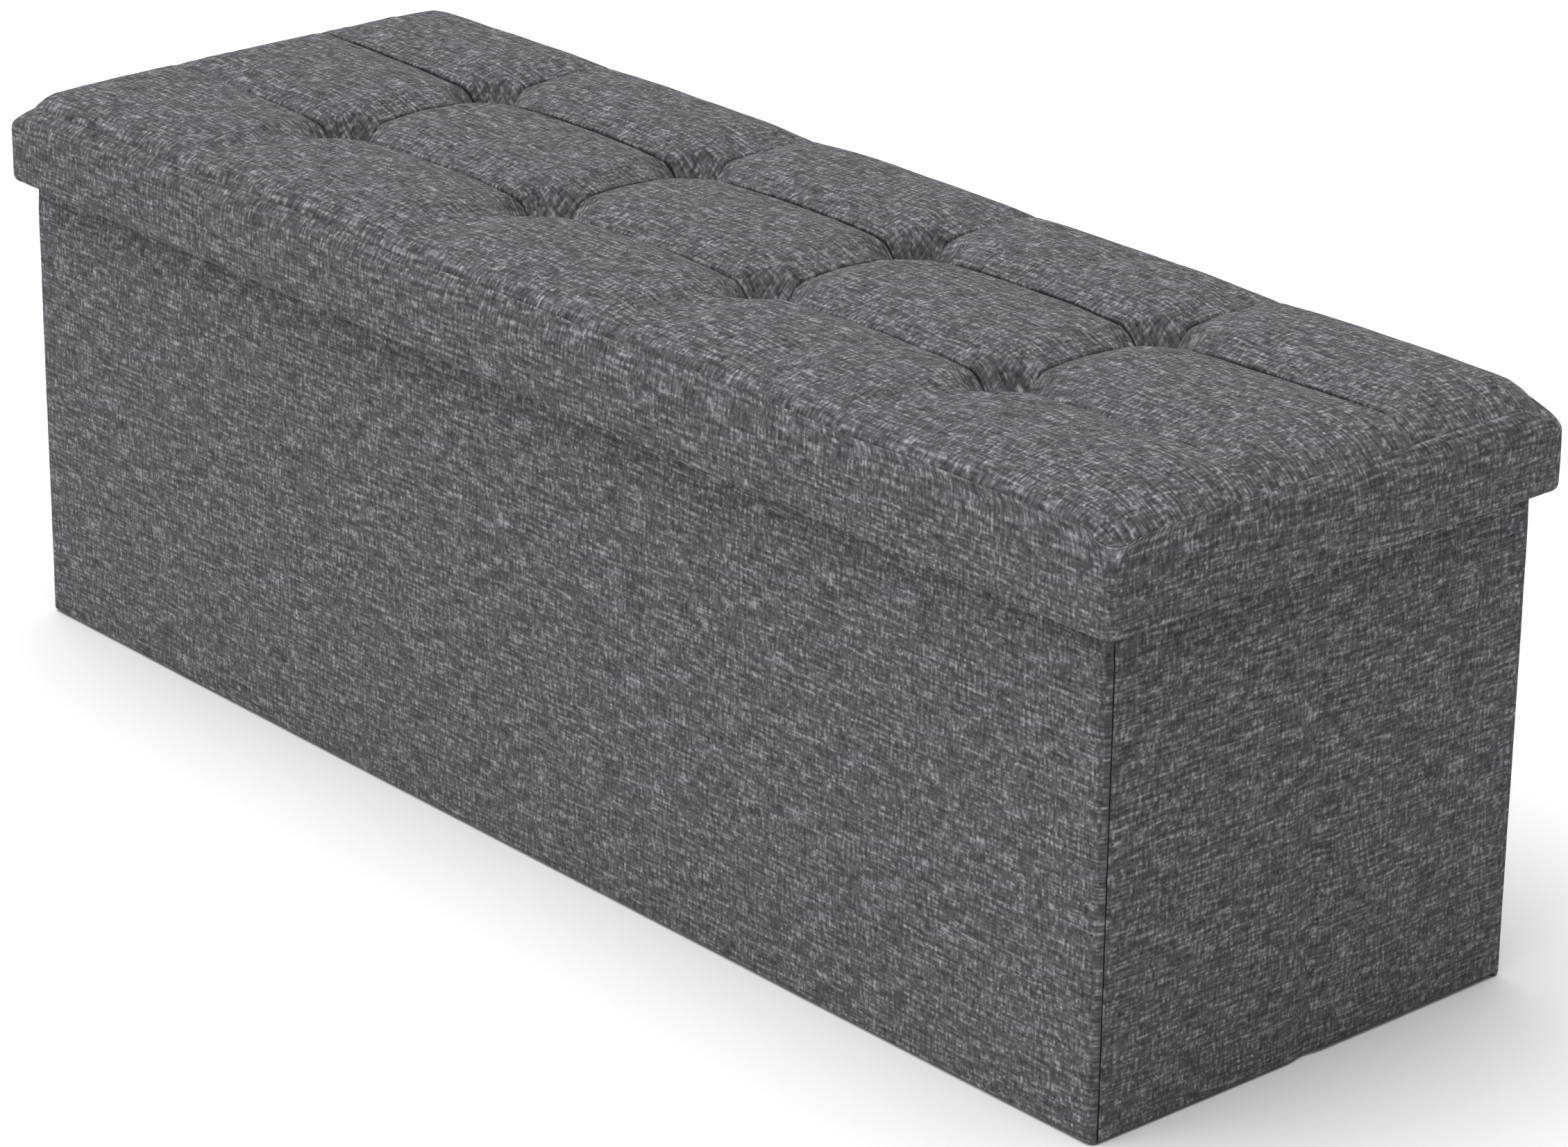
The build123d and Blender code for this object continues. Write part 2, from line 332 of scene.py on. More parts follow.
def linen_cloth():
    """Charcoal melange: a plain weave of slubby yarns, each pale and dark along its length."""
    n = Nodes("charcoal linen-look cloth", roughness=0.95)
    place = n.add("ShaderNodeAttribute", attribute_name="cloth").outputs["Vector"]
    drift = n.math("SUBTRACT", n.noise(place, 30.0, 2.0), 0.5)
    drift = n.math("MULTIPLY", drift, 0.5)
    split = n.add("ShaderNodeSeparateXYZ", {"Vector": place})
    u, v = split.outputs[0], split.outputs[1]
    across = n.math("ADD", n.math("DIVIDE", u, THREAD), drift)
    along = n.math("ADD", n.math("DIVIDE", v, THREAD), drift)
    warp = n.noise(n.vector(n.math("MULTIPLY", n.math("FLOOR", across), 3.7),
                            n.math("DIVIDE", v, 0.7 * SLUB), 0.0), 1.0, 3.0, 0.6)
    weft = n.noise(n.vector(n.math("DIVIDE", u, SLUB),
                            n.math("MULTIPLY", n.math("FLOOR", along), 3.7), 9.0), 1.0, 3.0, 0.6)
    crossing = n.math("MULTIPLY", n.math("SINE", n.math("MULTIPLY", across, math.pi)),
                      n.math("SINE", n.math("MULTIPLY", along, math.pi)))
    over = n.math("ADD", n.math("MULTIPLY", crossing, 2.5), 0.5, clamp=True)
    yarn = n.mixed(over, warp, weft)
    upright = n.noise(n.vector(n.math("DIVIDE", u, CLUSTER),
                               n.math("DIVIDE", v, 1.4 * SLUB), 21.0), 1.0, 2.0)
    level = n.noise(n.vector(n.math("DIVIDE", u, 3.2 * SLUB),
                             n.math("DIVIDE", v, CLUSTER), 33.0), 1.0, 2.0)
    cloud = n.noise(place, 60.0, 3.0)
    tone = n.math("ADD", yarn, n.math("MULTIPLY", n.math("SUBTRACT", upright, 0.5), 0.7))
    tone = n.math("ADD", tone, n.math("MULTIPLY", n.math("SUBTRACT", level, 0.5), 0.75))
    tone = n.math("ADD", tone, n.math("MULTIPLY", n.math("SUBTRACT", cloud, 0.5), 0.12))
    n.link(n.ramp(tone, [
        (0.17, (0.024, 0.0233, 0.0256)),
        (0.41, (0.068, 0.0658, 0.0728)),
        (0.56, (0.121, 0.1172, 0.1292)),
        (0.85, (0.390, 0.3770, 0.4110)),
    ]), "Base Color")
    rounded_yarn = n.math("POWER", n.math("ABSOLUTE", crossing), 0.5)
    height = n.math("ADD", n.math("MULTIPLY", rounded_yarn, 0.45), tone)
    n.link(n.bump(height, 0.42, 0.5 * MM), "Normal")
    n.shader.inputs["Sheen Weight"].default_value = 0.08
    n.shader.inputs["Sheen Roughness"].default_value = 0.6
    n.shader.inputs["Specular IOR Level"].default_value = 0.12
    return n.material


def non_woven(name, dark, pale):
    """A thin fused-fibre cloth with a small embossed dot pattern."""
    n = Nodes(name, roughness=0.88)
    here = n.add("ShaderNodeTexCoord").outputs["Object"]
    place = n.add("ShaderNodeAttribute", attribute_name="cloth").outputs["Vector"]
    fibres = n.noise(here, 520.0, 5.0)
    cloud = n.noise(here, 9.0, 3.0)
    split = n.add("ShaderNodeSeparateXYZ", {"Vector": place})
    waves = [n.math("SINE", n.math("MULTIPLY", split.outputs[k], math.pi / (1.5 * MM)))
             for k in range(2)]
    dots = n.math("MULTIPLY", waves[0], waves[1])
    dots = n.math("MULTIPLY", n.math("MAXIMUM", dots, 0.0), 0.8)
    tone = n.math("ADD", n.math("MULTIPLY", fibres, 0.6), n.math("MULTIPLY", cloud, 0.4))
    tone = n.math("SUBTRACT", tone, n.math("MULTIPLY", dots, 0.07))
    n.link(n.ramp(tone, [(0.32, dark), (0.66, pale)]), "Base Color")
    n.link(n.bump(n.math("SUBTRACT", fibres, dots), 0.5, 0.35 * MM), "Normal")
    return n.material


def fibreboard():
    """Brown pressed board: fine fibres over a slow change of tone."""
    n = Nodes("fibreboard", roughness=0.8)
    here = n.add("ShaderNodeTexCoord").outputs["Object"]
    fibres = n.noise(here, 700.0, 6.0)
    cloud = n.noise(here, 14.0, 4.0)
    tone = n.math("ADD", n.math("MULTIPLY", fibres, 0.6), n.math("MULTIPLY", cloud, 0.4))
    n.link(n.ramp(tone, [
        (0.36, (0.20, 0.125, 0.07)),
        (0.52, (0.36, 0.25, 0.15)),
        (0.66, (0.50, 0.37, 0.24)),
    ]), "Base Color")
    n.link(n.bump(fibres, 0.25, 0.3 * MM), "Normal")
    return n.material


def ribbed_yarn(name, dark, pale, rib):
    """Twine and ribbon: fine ribs with a spun yarn's unevenness."""
    n = Nodes(name, roughness=0.7)
    here = n.add("ShaderNodeTexCoord").outputs["Object"]
    split = n.add("ShaderNodeSeparateXYZ", {"Vector": here})
    slant = n.math("ADD", split.outputs[1], n.math("MULTIPLY", split.outputs[2], 0.7))
    ribs = n.math("SINE", n.math("MULTIPLY", slant, 2 * math.pi / rib))
    fibres = n.noise(here, 1500.0, 3.0)
    tone = n.math("ADD", n.math("MULTIPLY", ribs, 0.12), fibres)
    n.link(n.ramp(tone, [(0.35, dark), (0.65, pale)]), "Base Color")
    n.link(n.bump(tone, 0.5, 0.3 * MM), "Normal")
    return n.material


def moulded_plastic():
    """Black plastic with a fine moulded grain."""
    n = Nodes("black moulded plastic", roughness=0.5)
    here = n.add("ShaderNodeTexCoord").outputs["Object"]
    grain = n.noise(here, 900.0, 3.0)
    n.link(n.ramp(grain, [
        (0.4, (0.012, 0.012, 0.013)),
        (0.6, (0.03, 0.03, 0.032)),
    ]), "Base Color")
    n.link(n.bump(grain, 0.2, 0.2 * MM), "Normal")
    return n.material


LINEN = linen_cloth()
LINING = non_woven("black non-woven lining", (0.028, 0.028, 0.029), (0.080, 0.080, 0.083))
FIBREBOARD = fibreboard()
RIBBON = ribbed_yarn("black ribbon", (0.008, 0.008, 0.009), (0.035, 0.035, 0.038), 1.1 * MM)
TWINE = ribbed_yarn("waxed twine", (0.30, 0.27, 0.21), (0.60, 0.56, 0.46), 1.0 * MM)
PLASTIC = moulded_plastic()


# ============================== lid: tufted top ================================================
def edge_fall(d, size):
    """How far the top lies under the puffs' crests at a distance d in from one face."""
    width, height = size
    t = np.clip(1 - d / width, 0, 1)
    crown = CROWN * np.clip(1 - d / CROWN_WIDTH, 0, 1) ** 2
    return height * (1 - np.sqrt(1 - t * t)) + crown


def corner_drop(x, y):
    """The corners of the top are pulled down a little more than its edges."""
    a = np.clip(1 - (FACE_X - np.abs(x)) / CORNER_WIDTH, 0, 1)
    b = np.clip(1 - (FACE_Y - np.abs(y)) / CORNER_WIDTH, 0, 1)
    return CORNER_DROP * (a * b) ** 2


def edge_wave(x, y):
    """The tufts' pull on the lid's upper edge: it dips at each column of tufts."""
    wave = 0
    for place, dip in zip(TUFT_X, EDGE_DIPS):
        wave = wave - dip * near(x - place, EDGE_DIP_SPREAD)
    wave = wave * smoothstep(60 * MM, 150 * MM, np.abs(y))
    points = np.stack([x, y, 0 * x], -1)
    return wave + 0.9 * MM * soft_noise(points, 160 * MM, 3)


def groove(d, depth, reach):
    """The side of a puff that rounds down into a seam."""
    t = np.clip(1 - np.abs(d) / reach, 0, 1)
    return depth * (1 - np.sqrt(1 - t * t))


def nearest(value, places):
    return np.min([np.abs(value - p) for p in places], axis=0)


def tuft_pits(x, y):
    """The funnels that the tufts pull, wider along the seams, with pleats round them."""
    pits = 0
    for i, tx in enumerate(TUFT_X):
        for j, ty in enumerate(TUFT_Y):
            dx, dy = np.abs(x - tx), np.abs(y - ty)
            r = (dx ** TUFT_POWER + dy ** TUFT_POWER) ** (1 / TUFT_POWER)
            angle = np.arctan2(y - ty, x - tx)
            size = 1 + 0.06 * math.sin(2.1 * i + 3.7 * j)
            t = np.clip(1 - (r - TUFT_FLOOR) / (TUFT_REACH * size), 0, 1)
            bowl, slope = 1 - np.sqrt(1 - t * t), smoothstep(0.04, 0.86, t)
            pit = TUFT_DEPTH * size * (TUFT_BOWL * bowl + (1 - TUFT_BOWL) * slope)
            pleats = np.cos(11 * angle + 1.7 * i + j) + 0.6 * np.cos(17 * angle + 2.9 * j + i)
            ring = smoothstep(3 * MM, 11 * MM, r) * (1 - smoothstep(18 * MM, 44 * MM, r))
            pits = np.maximum(pits, pit + PLEAT_HEIGHT * pleats * ring)
    return np.maximum(pits, 0)


def seam_depth(seam, to_tufts):
    """How deep a column's seam is at a distance from a row of tufts."""
    depth, more, spread = seam
    return depth + more * near(to_tufts, spread)


def seam_grooves(x, y):
    """Depths of the seams along the rows and the columns of tufts."""
    to_column, to_row = nearest(x, TUFT_X), nearest(y, TUFT_Y)
    in_from_end = FACE_X - np.abs(x)
    near_column = near(to_column, ROW_SEAM_SPREAD)
    row_depth = ROW_SEAM[0] + ROW_SEAM[1] * near_column
    row_depth = row_depth * (0.2 + 0.8 * smoothstep(10 * MM, 150 * MM, in_from_end))
    rows = groove(to_row, row_depth, ROW_SEAM_REACH[0] + ROW_SEAM_REACH[1] * near_column)
    middle = seam_depth(MIDDLE_SEAM, to_row)
    rear = seam_depth(REAR_SEAM, y - TUFT_Y[1])
    front = seam_depth(FRONT_SEAM, y - TUFT_Y[0])
    column_depth = np.where(y > TUFT_Y[1], rear, np.where(y < TUFT_Y[0], front, middle))
    return rows, groove(to_column, column_depth, COLUMN_SEAM_REACH)


def seam_slits(x, y):
    """The fine dark line in each seam, where the two sides of cloth meet."""
    rows = near(nearest(y, TUFT_Y), ROW_SLIT[1])
    in_from_end = FACE_X - np.abs(x)
    rows = rows * (0.2 + 0.8 * smoothstep(20 * MM, 120 * MM, in_from_end))
    along = [np.where(x < tx, (tx - x) / (60 * MM), (x - tx) / (24 * MM)) for tx in TUFT_X]
    front_row = 0.05 + 0.5 * near(np.min(along, axis=0), 1)
    rows = rows * np.where(y > 0, 1.0, front_row)
    columns = near(nearest(x, TUFT_X), COLUMN_SLIT[1])
    inner = 1 - smoothstep(TUFT_Y[1] + 24 * MM, FACE_Y - 34 * MM, y)
    inner = inner * smoothstep(TUFT_Y[0] - 22 * MM, TUFT_Y[0], y)
    return ROW_SLIT[0] * rows, COLUMN_SLIT[0] * columns * inner


def top_height(x, y):
    """The tufted top: a soft crown, valleys along the seams and deep pits at the tufts."""
    in_y = FACE_Y - np.abs(y)
    across = np.where(y > 0, edge_fall(in_y, REAR_ROUND), edge_fall(in_y, FRONT_ROUND))
    base = SEAT_Z + SEAT_LEAN * x / FACE_X - edge_fall(FACE_X - np.abs(x), END_ROUND) - across
    base = base - corner_drop(x, y) + edge_wave(x, y)
    rows, columns = seam_grooves(x, y)
    pits = tuft_pits(x, y)
    depth = (rows ** 3 + columns ** 3 + pits ** 3) ** (1 / 3)
    ripple = TOP_RIPPLE * soft_noise(np.stack([x, y, 0 * x], -1), 38 * MM, 1)
    return base - depth + ripple


def seam_roll(x, y):
    """How deep the cloths roll into the edge seam: it is drawn flat at the ends and corners."""
    long_side = 1 - smoothstep(FACE_X - 46 * MM, FACE_X - 26 * MM, np.abs(x))
    return SEAM_ROLL * (0.04 + 0.96 * long_side)


def round_corners(x, y, half_x, half_y, radius):
    """Moves the points of a rectangle on to the same rectangle with round corners."""
    a = np.clip((np.abs(x) - (half_x - radius)) / radius, 0, None)
    b = np.clip((np.abs(y) - (half_y - radius)) / radius, 0, None)
    both = (a > 0) & (b > 0)
    new_a = np.where(both, a * np.sqrt(np.maximum(0, 1 - b * b / 2)), a)
    new_b = np.where(both, b * np.sqrt(np.maximum(0, 1 - a * a / 2)), b)
    x = np.where(a > 0, np.sign(x) * (half_x - radius + new_a * radius), x)
    y = np.where(b > 0, np.sign(y) * (half_y - radius + new_b * radius), y)
    return x, y


SEAM_STEPS = [k * MM for k in (0, 0.4, 0.9, 1.5, 2.3, 3.6, 5.6, 7.8, 10.5, 13.5, 17, 21, 25.5, 30)]
EDGE_STEPS = [k * MM for k in (0, 0.6, 1.4, 2.4, 3.8, 6, 9, 12.8, 17.5)]


def top_lines(half, seams):
    """Grid lines across the top, closer together near the seams and the border."""
    at_seams = {s + sign * k for s in seams for k in SEAM_STEPS for sign in (-1, 1)}
    at_edges = {sign * (half - k) for k in EDGE_STEPS for sign in (-1, 1)}
    taken = at_seams | at_edges
    count = round(2 * half / GRID_STEP)
    rest = [v for v in np.linspace(-half, half, count + 1)
            if min(abs(v - t) for t in taken) > 0.55 * GRID_STEP]
    return np.array(sorted(taken | set(rest)))


def settle(half_x, half_y):
    """Lets the top's cloth settle over its padding in a cloth simulation.

    The border, the seams and the tufts hold the cloth, the padding presses on it from below, and
    it is a little too large, so it puckers. Gives how far each point of an even grid moves.
    """
    counts = [round(2 * half / SETTLE_STEP) + 1 for half in (half_x, half_y)]
    gx, gy = np.meshgrid(np.linspace(-half_x, half_x, counts[0]),
                         np.linspace(-half_y, half_y, counts[1]), indexing="ij")
    start = np.stack([gx, gy, top_height(gx, gy)], -1)
    surface = Surface()
    surface.grid(start, gx, gy)
    piece = mesh_piece("settling_cloth", surface.points, surface.faces)
    to_seam = np.minimum(nearest(gx, TUFT_X), nearest(gy, TUFT_Y))
    to_tuft = np.hypot(nearest(gx, TUFT_X), nearest(gy, TUFT_Y))
    to_border = np.minimum(half_x - np.abs(gx), half_y - np.abs(gy))
    held = 1 - smoothstep(*HELD_AT_SEAMS, to_seam)
    held = np.maximum(held, 1 - smoothstep(*HELD_AT_BORDER, to_border))
    held = np.maximum(held, 1 - smoothstep(*HELD_AT_TUFTS, to_tuft))
    group = piece.vertex_groups.new(name="held")
    for k, weight in enumerate(held.ravel()):
        group.add([k], float(weight), "REPLACE")
    cloth = piece.modifiers.new("cloth", "CLOTH")
    cloth.point_cache.frame_start, cloth.point_cache.frame_end = 1, SETTLE_FRAMES
    settings = cloth.settings
    settings.quality = SETTLE_QUALITY
    settings.tension_stiffness = settings.compression_stiffness = SETTLE_STIFFNESS
    settings.bending_stiffness = SETTLE_BENDING
    settings.shrink_min = -SETTLE_EXCESS
    settings.use_pressure = True
    settings.uniform_pressure_force = SETTLE_PRESSURE
    settings.vertex_group_mass = group.name
    settings.effector_weights.gravity = 0
    cloth.collision_settings.use_collision = False
    for number in range(1, SETTLE_FRAMES + 1):
        bpy.context.scene.frame_set(number)
    settled = piece.evaluated_get(bpy.context.evaluated_depsgraph_get())
    ends = np.array([v.co[:] for v in settled.data.vertices]).reshape(start.shape)
    bpy.data.objects.remove(piece)
    bpy.context.scene.frame_set(1)
    moved = ends - start
    far = np.linalg.norm(moved, axis=-1, keepdims=True)
    return moved * np.minimum(1, SETTLE_LIMIT / np.maximum(far, 1e-9))


def smooth_between(values, u, v):
    """Reads a grid of values at places u, v, counted in its steps, with smooth B-spline weights."""
    weighed = 0
    corner_u, corner_v = np.floor(u), np.floor(v)
    tu, tv = u - corner_u, v - corner_v

    def weights(t):
        return ((1 - t) ** 3 / 6, (3 * t ** 3 - 6 * t ** 2 + 4) / 6,
                (-3 * t ** 3 + 3 * t ** 2 + 3 * t + 1) / 6, t ** 3 / 6)

    for i, share_u in enumerate(weights(tu)):
        for j, share_v in enumerate(weights(tv)):
            a = np.clip(corner_u + i - 1, 0, values.shape[0] - 1).astype(int)
            b = np.clip(corner_v + j - 1, 0, values.shape[1] - 1).astype(int)
            weighed = weighed + (share_u * share_v)[..., None] * values[a, b]
    return weighed


def seat_cushion():
    """The tufted top and its padding, closed below by a flat underside on the lid's board."""
    half_x, half_y = FACE_X - SEAM_INSET, FACE_Y - SEAM_INSET
    gx, gy = np.meshgrid(top_lines(half_x, TUFT_X), top_lines(half_y, TUFT_Y), indexing="ij")
    px, py = round_corners(gx, gy, half_x, half_y, SEAM_CORNER)
    from_seam = np.minimum(half_x - np.abs(gx), half_y - np.abs(gy))
    roll = seam_roll(px, py) * np.clip(1 - from_seam / (4 * MM), 0, 1) ** 2
    row_slits, column_slits = seam_slits(px, py)
    drop = roll + np.maximum(row_slits, column_slits)
    points = np.stack([px - FOLD_LEAN * column_slits, py + FOLD_LEAN * row_slits,
                       top_height(px, py) - drop], -1)
    moved = settle(half_x, half_y)
    across = (px + half_x) / (2 * half_x) * (moved.shape[0] - 1)
    along = (py + half_y) / (2 * half_y) * (moved.shape[1] - 1)
    points += smooth_between(moved, across, along)
    surface = Surface()
    index = surface.grid(points, gx, gy)
    ring = np.concatenate([index[:, 0], index[-1, 1:], index[-2::-1, -1], index[0, -2:0:-1]])
    for inset, drop in HEM_RINGS:
        border = np.array([surface.points[k] for k in ring])
        x, y = border[:, 0] * (1 - inset / half_x), border[:, 1] * (1 - inset / half_y)
        z = np.maximum(border[:, 2] - drop, BOARD_HIGH.z + 0.4 * MM)
        start = len(surface.points)
        surface.points += [tuple(p) for p in np.stack([x, y, z], -1)]
        fresh = start + np.arange(len(ring))
        places = [((p[0], p[1]), (p[0], p[1] + drop)) for p in border]
        surface.strip([*ring, ring[0]], [*fresh, fresh[0]], [*places, places[0]])
        ring = fresh
    surface.faces.append(tuple(int(k) for k in ring))
    surface.cloth.append([surface.points[k][:2] for k in ring])
    piece = surface.piece("seat_cushion")
    dress(piece, "lid", LINEN, "linen_look_cover", "lid_top_cover", "lid_foam_pad")


# ============================== lid: side band =================================================
def lid_outline(inset, radius, count_long=150, count_short=54, count_corner=9):
    """Points round the lid at an inset from its faces, with their outward directions."""
    cx, cy = FACE_X - inset - radius, FACE_Y - inset - radius
    corners = [(cx, cy, 0), (-cx, cy, 90), (-cx, -cy, 180), (cx, -cy, 270)]
    path, outward = [], []
    for k, (x, y, start) in enumerate(corners):
        for i in range(count_corner + 1):
            angle = math.radians(start + 90 * i / count_corner)
            direction = np.array([math.cos(angle), math.sin(angle)])
            path.append(np.array([x, y]) + direction * radius)
            outward.append(direction)
        nx, ny, _ = corners[(k + 1) % 4]
        count = count_long if k % 2 == 0 else count_short
        for i in range(1, count):
            t = i / count
            path.append(np.array([x + (nx - x) * t, y + (ny - y) * t]) + direction * radius)
            outward.append(direction)
    return np.array(path), np.array(outward)


def band_profile():
    """(inset, height, corner radius, soft, rise): up the outside, into the seam, down inside.

    The height of a row is over the rim's lower edge; with a rise it is instead that
    share of the way from the face's top to the cushion's edge, plus the height as a
    multiple of the seam's roll.
    """
    inner = (FACE_X - RIM_INNER_X) / MM + 0.8
    core = LID_PROUD / MM + 1.3
    rows = [(inner, 31, 2, 0), (inner, 12, 2, 0), (inner, 3.2, 2, 0), (inner - 0.6, 0.7, 2.6, 0),
            (inner - 2.4, 0, 4.4, 0), (4.6, 0, 5, 0), (2.2, 0.5, 7, 0.3), (0.8, 1.8, 8, 0.6),
            (0.1, 3.9, 8.4, 0.9)]
    rows = [(*row, None) for row in rows]
    corner, seam_corner, inset = FACE_CORNER / MM, SEAM_CORNER / MM, SEAM_INSET / MM
    for height in np.linspace(6, (FACE_TOP - RIM_Z) / MM, 8):
        rows.append((0, height, corner, 1, None))
    for t in np.linspace(0.12, 0.94, 8):
        out = EDGE_WIDTH / MM * (1 - math.cos(SEAM_TURN * t))
        rise = math.sin(SEAM_TURN * t) / math.sin(SEAM_TURN)
        rows.append((out, 0.0, corner + (seam_corner - corner) * t ** 4, 1, rise))
    rows += [(inset - 0.05, -0.4, seam_corner, 1, 1), (inset + 0.15, -1.0, seam_corner, 1, 1),
             (inset + 0.45, -2.4, seam_corner, 1, 1)]
    board = (BOARD_HIGH.z - RIM_Z) / MM
    rows += [(core + 0.5, board + 4, 11, 0, None), (core, board, 10.2, 0, None),
             (core, 20, 10.2, 0, None), (core, 1.6, 10.2, 0, None),
             (inner - 0.8, 1.6, 2.2, 0, None), (inner - 0.8, 31, 2.2, 0, None)]
    return rows


def side_band():
    """The boxing cloth: up from inside the rim, over its edge and into the top seam."""
    seam, _ = lid_outline(SEAM_INSET, SEAM_CORNER)
    seam_height = top_height(seam[:, 0], seam[:, 1])
    points, along = [], [0.0]
    for inset, height, radius, soft, rise in band_profile():
        path, outward = lid_outline(inset * MM, radius * MM)
        if rise is None:
            level = np.full(len(path), RIM_Z + height * MM)
        else:
            level = FACE_TOP + (seam_height - FACE_TOP) * rise + height * seam_roll(seam[:, 0], 0)
        place = np.stack([path[:, 0], path[:, 1], level], -1)
        if rise is not None:
            gape = SEAM_GAPE * smoothstep(0.7, 1, rise) * seam_roll(seam[:, 0], 0) / SEAM_ROLL
            place[:, :2] += outward * gape[:, None]
        swell = 0.55 * soft_noise(place, 60 * MM, 2) + 0.25 * soft_noise(place, 17 * MM, 4)
        place[:, :2] += outward * (soft * swell * MM)[:, None]
        if points:
            along.append(along[-1] + float(np.linalg.norm(place[200] - points[-1][200])))
        points.append(place)
    path, _ = lid_outline(0, FACE_CORNER)
    steps = np.linalg.norm(np.roll(path, -1, 0) - path, axis=1)
    around = np.concatenate([[0], np.cumsum(steps)])
    along.append(along[-1])
    u, v = np.meshgrid(around, np.array(along))
    surface = Surface()
    surface.grid(np.array(points), u, v, wrap_rows=True, wrap_columns=True)
    piece = surface.piece("lid_side_band")
    dress(piece, "lid", LINEN, "linen_look_cover", "lid_side_cover")


# ============================== walls ==========================================================
def rounded(d, radius):
    """How far a round edge has dropped at a distance d in from it."""
    t = np.clip(1 - d / radius, 0, 1)
    return radius * (1 - np.sqrt(1 - t * t))


def edge_lines(low, high, step, radius=5 * MM):
    """Lines from low to high, closer together over the round edge at each end."""
    ends = [radius * (1 - math.cos(math.radians(k))) for k in (0, 18, 36, 54, 72, 90)]
    count = max(2, round((high - low - 2 * radius) / step))
    middle = list(np.linspace(low + radius, high - radius, count + 1))[1:-1]
    return np.array([low + e for e in ends] + middle + [high - e for e in ends[::-1]])


def wall_panel(s, z, outer, inner, place):
    """A closed panel between two faces; place turns (along, out, height) into row frame points."""
    gs, gz = np.meshgrid(s, z, indexing="ij")
    surface = Surface()
    front = surface.grid(place(gs, outer, gz), gs, gz)
    back = surface.grid(place(gs, inner, gz), gs, gz + BACK_CLOTH_SHIFT, flip=True)
    for axis, side in ((0, 0), (0, -1), (1, 0), (1, -1)):
        first = front[side] if axis == 0 else front[:, side]
        second = back[side] if axis == 0 else back[:, side]
        s_line = gs[side] if axis == 0 else gs[:, side]
        z_line = gz[side] if axis == 0 else gz[:, side]
        depth = EDGE_CLOTH if side else -EDGE_CLOTH
        step = np.array([depth, 0]) if axis == 0 else np.array([0, depth])
        places = [((a, b), (a + step[0], b + step[1])) for a, b in zip(s_line, z_line)]
        if (axis == 0) == (side == 0):
            surface.strip(first, second, places)
        else:
            surface.strip(second, first, [(b, a) for a, b in places])
    return surface


def turned(origin, along, out):
    """Places (along, out, height) from an origin, along and outward directions in plan."""
    def place(s, n, z):
        x = origin[0] + s * along[0] + n * out[0]
        y = origin[1] + s * along[1] + n * out[1]
        return np.stack([x, y, z], -1)
    return place


def padded_face(gs, gz, half, swell, seed):
    """How far a tight padded face stands out, less towards its edges and under the lid's rim."""
    across = 1 - np.abs(gs / half) ** 3
    up = np.clip(gz / WALL_TOP, 0, 1)
    shape = across * np.clip(1 - np.abs(up * 1.7 - 0.7) ** 3, 0, 1)
    flat = np.stack([gs, 0 * gs, gz], -1)
    ripple = 0.35 * MM * soft_noise(flat, 130 * MM, seed)
    ripple = ripple + 0.12 * MM * soft_noise(flat, 28 * MM, seed + 1)
    return (WALL_PROUD + swell * shape + ripple) * loose(gz)


def loose(z):
    """1 where a wall's cloth may stand proud and 0 inside the lid's rim."""
    return 1 - smoothstep(RIM_Z - 24 * MM, RIM_Z - 3 * MM, z)


def edge_drop(z):
    """The walls' lower edges are rounded more than their upper ones."""
    return rounded(z, FOOT_ROUND) + rounded(WALL_TOP - z, HEAD_ROUND)


def puckers(gs, gz, edge, seed):
    """Short creases that run into a corner seam at s = edge."""
    d = np.abs(gs - edge)
    flat = np.stack([0 * gz, 0 * gz, gz], -1)
    phase = 2.2 * soft_noise(flat, 22 * MM, seed)
    wave = 0.5 + 0.5 * np.cos(2 * math.pi * gz / PUCKER_STEP + phase)
    return -PUCKER_DEPTH * wave * np.exp(-d / PUCKER_LENGTH)


def long_wall(side, seed):
    """The front or the back wall's upholstery, wrapped round its board."""
    name = "front_wall" if side < 0 else "back_wall"
    s = edge_lines(-LONG_HALF, LONG_HALF, 10 * MM)
    z = edge_lines(0, WALL_TOP, 10 * MM, radius=HEAD_ROUND)
    gs, gz = np.meshgrid(s, z, indexing="ij")
    in_s, in_z = LONG_HALF - np.abs(gs), np.minimum(gz, WALL_TOP - gz)
    drop = np.hypot(rounded(in_s, (3.0 + 2.5 * loose(gz)) * MM), edge_drop(gz))
    swell = padded_face(gs, gz, LONG_HALF, LONG_BULGE, seed)
    pucker = puckers(gs, gz, LONG_HALF, seed) + puckers(gs, gz, -LONG_HALF, seed + 2)
    outer = THICKNESS + swell + 0.4 * pucker - drop
    back = np.hypot(rounded(in_s, BACK_ROUND), rounded(in_z, BACK_ROUND))
    inner = np.minimum(BACK_FACE + back, outer - LEAST_CLOTH)
    flat_place = turned((0, side * INNER_Y), (-side, 0), (0, side))
    longer, shorter = 1 + LONG_SWELL * loose(gz) / LONG_HALF, 1 - 0.6 * MM / LONG_HALF

    def place(along, out, height):
        return flat_place(along * (longer if out is outer else shorter), out, height)

    piece = wall_panel(s, z, outer, inner, place).piece(f"{name}_upholstery")
    dress(piece, name, LINEN, "linen_look_cover", f"{name}_cover")


